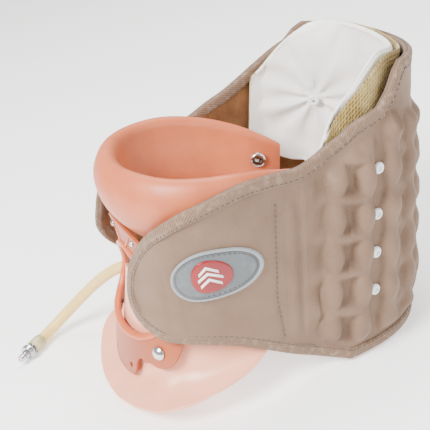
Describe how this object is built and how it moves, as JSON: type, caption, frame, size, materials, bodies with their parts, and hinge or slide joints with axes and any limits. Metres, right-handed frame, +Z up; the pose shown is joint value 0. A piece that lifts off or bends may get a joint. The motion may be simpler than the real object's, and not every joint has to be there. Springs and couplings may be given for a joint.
{
  "type": "cervical traction device",
  "caption": "Inflatable neck traction collar: foam chin cup on a riveted frame and chest plate, padded fabric wrap with air cells, occipital pad and hand-pump hose.",
  "frame": {"origin": "on the surface the collar stands on, at the centre of its outline seen from above, the hose left out", "axes": "+Z up, -Y towards the wearer's front (chin and chest plate), +X towards the wearer's left; the collar leans back 13.5 degrees about X, resting on its chest plate and the wrap's rear hem"},
  "size_m": [0.2225, 0.358, 0.2214],
  "materials": {
    "eva": "satin closed-cell foam skin",
    "salmon_plastic": "satin",
    "pink_plastic": "semi-gloss",
    "beige_fabric": "matt",
    "binding_twill": "twill",
    "brown_lining": "napped",
    "white_leatherette": "satin",
    "gold_mesh": "spacer mesh",
    "white_plastic": "gloss",
    "grey_patch": "woven",
    "red_enamel": "satin",
    "stay_plastic": "matt",
    "chrome": "polished",
    "latex": "satin",
    "sleeve_vinyl": "satin"
  },
  "bodies": {
    "collar": {"air_cell_01": "beige_fabric", "air_cell_02": "beige_fabric", "air_cell_03": "beige_fabric", "air_cell_04": "beige_fabric", "air_cell_05": "beige_fabric", "air_cell_06": "beige_fabric", "air_cell_07": "beige_fabric", "air_cell_08": "beige_fabric", "air_cell_09": "beige_fabric", "air_cell_10": "beige_fabric", "air_cell_11": "beige_fabric", "air_cell_12": "beige_fabric", "air_cell_13": "beige_fabric", "air_duct": "stay_plastic", "air_hose": "latex", "back_bottom_binding": "binding_twill", "back_cover": "beige_fabric", "back_lining": "brown_lining", "back_top_binding": "binding_twill", "chest_plate": "pink_plastic", "chin_cup": "eva", "coupling_body": "chrome", "front_frame": "salmon_plastic", "head_pad": "white_leatherette", "hose_inlet": "white_plastic", "hose_sleeve": "sleeve_vinyl", "left_arm_eyelet": "chrome", "left_cup_pin": "chrome", "left_frame_rivet": "chrome", "left_snap_1": "white_plastic", "left_snap_2": "white_plastic", "left_snap_3": "white_plastic", "left_snap_4": "white_plastic", "pad_button": "white_plastic", "pad_mesh_back": "gold_mesh", "right_arm_eyelet": "chrome", "right_cup_pin": "chrome", "right_frame_rivet": "chrome", "right_snap_1": "white_plastic", "right_snap_2": "white_plastic", "right_snap_3": "white_plastic", "right_snap_4": "white_plastic"},
    "left_wing": {"badge_emblem": "red_enamel", "badge_patch": "grey_patch", "left_hook_patch": "stay_plastic", "left_narrow_stay": "stay_plastic", "left_tip_stay": "stay_plastic", "left_wide_stay": "stay_plastic", "left_wing_binding": "binding_twill", "left_wing_cover": "beige_fabric", "left_wing_lining": "brown_lining"},
    "right_wing": {"right_narrow_stay": "stay_plastic", "right_tip_stay": "stay_plastic", "right_wide_stay": "stay_plastic", "right_wing_binding": "binding_twill", "right_wing_cover": "beige_fabric", "right_wing_lining": "brown_lining"},
    "release_collar": {"coupling_collar": "chrome"}
  },
  "joints": [
    {"name": "left_wing_fold", "type": "hinge", "parent": "collar", "child": "left_wing", "pos_m": [0.0884, -0.00903, 0.00277], "axis": [0, 0.2334, 0.9724], "range_deg": [0, 60]},
    {"name": "right_wing_fold", "type": "hinge", "parent": "collar", "child": "right_wing", "pos_m": [-0.0884, -0.00903, 0.00277], "axis": [0, -0.2334, -0.9724], "range_deg": [0, 60]},
    {"name": "release_slide", "type": "slide", "parent": "collar", "child": "release_collar", "axis": [-0.585, 0.811, 0], "range_m": [0, 0.0022], "stiffness_N_per_m": 900, "springref_m": -0.001}
  ]
}
